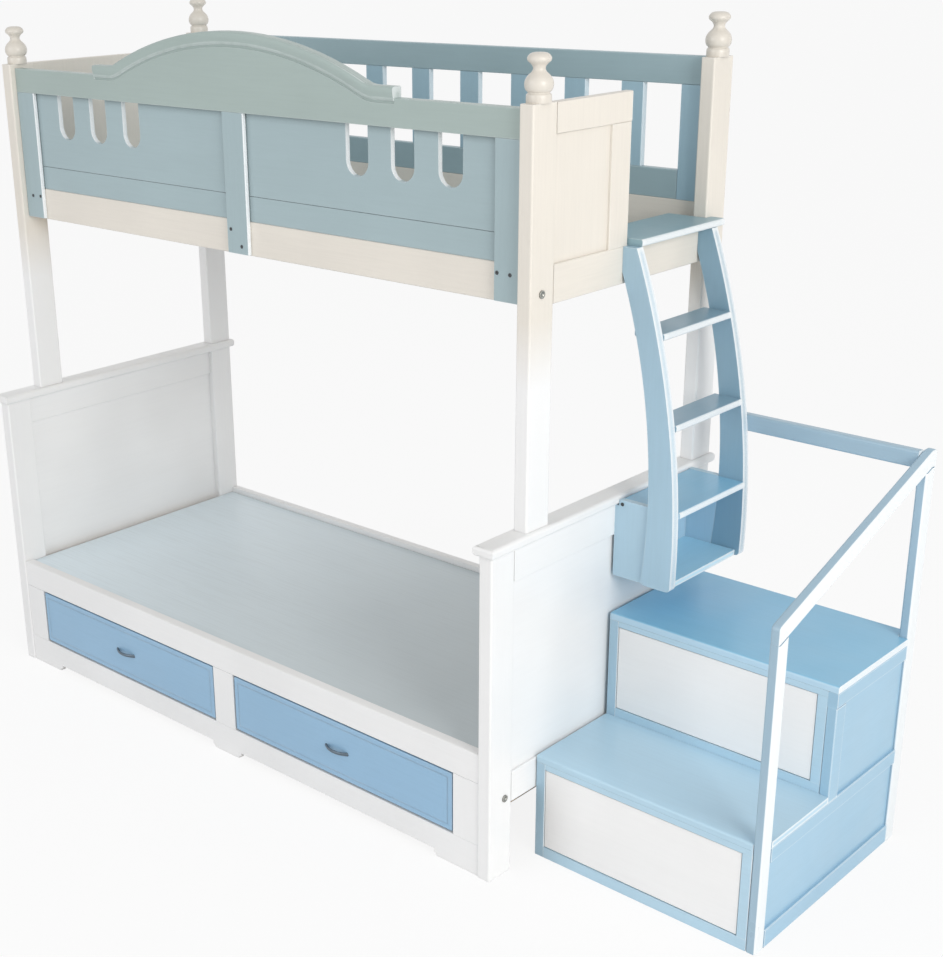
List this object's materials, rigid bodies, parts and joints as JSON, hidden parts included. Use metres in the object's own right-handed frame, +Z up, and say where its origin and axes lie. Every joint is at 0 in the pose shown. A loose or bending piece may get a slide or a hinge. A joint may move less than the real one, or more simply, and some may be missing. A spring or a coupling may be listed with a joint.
{
  "type": "bunk bed with storage stairs",
  "caption": "Painted wooden bunk bed with a wide lower berth, a guarded upper berth, an arched ladder, storage stairs with drawers and a handrail.",
  "frame": {"origin": "middle of the floor under the whole piece of furniture", "axes": "+X along the bed towards the stairs, +Y from the open front to the wall side, +Z up"},
  "size_m": [2.665, 0.952, 2.054],
  "materials": {
    "white_paint": "satin white paint over wood",
    "cream_paint": "satin cream paint over wood",
    "grey_blue_paint": "satin grey blue paint over wood",
    "mid_blue_paint": "satin mid blue paint over wood",
    "light_blue_paint": "satin light blue paint over wood",
    "deck_laminate": "painted sheet",
    "bearer_pine": "clear lacquer over pine",
    "drawer_ply": "clear lacquer over plywood",
    "pull_metal": "dark satin metal"
  },
  "bodies": {
    "bed_frame": {"back_guard_balusters": "mid_blue_paint", "back_guard_rails": "mid_blue_paint", "bed_front_bottom_rail": "white_paint", "bed_front_stiles": "white_paint", "bed_front_top_rail": "white_paint", "cubby_bottom": "light_blue_paint", "cubby_top": "light_blue_paint", "cubby_walls": "light_blue_paint", "deck_supports": "bearer_pine", "drawer_runners": "bearer_pine", "front_guard_battens": "grey_blue_paint", "front_guard_crown": "grey_blue_paint", "front_guard_panel": "grey_blue_paint", "front_guard_strip": "grey_blue_paint", "handrail_back": "light_blue_paint", "handrail_back_post": "light_blue_paint", "handrail_front_post": "light_blue_paint", "handrail_slope": "light_blue_paint", "ladder_stile_back": "light_blue_paint", "ladder_stile_front": "light_blue_paint", "ladder_treads": "light_blue_paint", "landing_board": "mid_blue_paint", "left_end_guard": "cream_paint", "lower_back_rail": "white_paint", "lower_cap_left": "white_paint", "lower_cap_right": "white_paint", "lower_deck": "deck_laminate", "lower_end_left": "white_paint", "lower_end_right": "white_paint", "lower_leg_back_left": "white_paint", "lower_leg_back_right": "white_paint", "lower_leg_front_left": "white_paint", "lower_leg_front_right": "white_paint", "post_finials": "cream_paint", "right_end_guard": "cream_paint", "stair_back": "light_blue_paint", "stair_front_frames": "light_blue_paint", "stair_left_side": "light_blue_paint", "stair_lower_tread": "light_blue_paint", "stair_right_side": "light_blue_paint", "stair_upper_tread": "light_blue_paint", "upper_deck": "deck_laminate", "upper_end_rails": "cream_paint", "upper_post_back_left": "cream_paint", "upper_post_back_right": "cream_paint", "upper_post_front_left": "cream_paint", "upper_post_front_right": "cream_paint", "upper_side_rails": "cream_paint"},
    "bed_drawer_left": {"bed_drawer_left_box": "drawer_ply", "bed_drawer_left_front": "light_blue_paint", "bed_drawer_left_pull": "pull_metal"},
    "bed_drawer_right": {"bed_drawer_right_box": "drawer_ply", "bed_drawer_right_front": "light_blue_paint", "bed_drawer_right_pull": "pull_metal"},
    "step_drawer_lower": {"lower_step_drawer_box": "drawer_ply", "lower_step_drawer_front": "white_paint"},
    "step_drawer_upper": {"upper_step_drawer_box": "drawer_ply", "upper_step_drawer_front": "white_paint"}
  },
  "joints": [
    {"name": "bed_drawer_left_slide", "type": "slide", "parent": "bed_frame", "child": "bed_drawer_left", "axis": [0, -1, 0], "range_m": [0, 0.45]},
    {"name": "bed_drawer_right_slide", "type": "slide", "parent": "bed_frame", "child": "bed_drawer_right", "axis": [0, -1, 0], "range_m": [0, 0.45]},
    {"name": "step_drawer_lower_slide", "type": "slide", "parent": "bed_frame", "child": "step_drawer_lower", "axis": [0, -1, 0], "range_m": [0, 0.45]},
    {"name": "step_drawer_upper_slide", "type": "slide", "parent": "bed_frame", "child": "step_drawer_upper", "axis": [0, -1, 0], "range_m": [0, 0.24]}
  ]
}
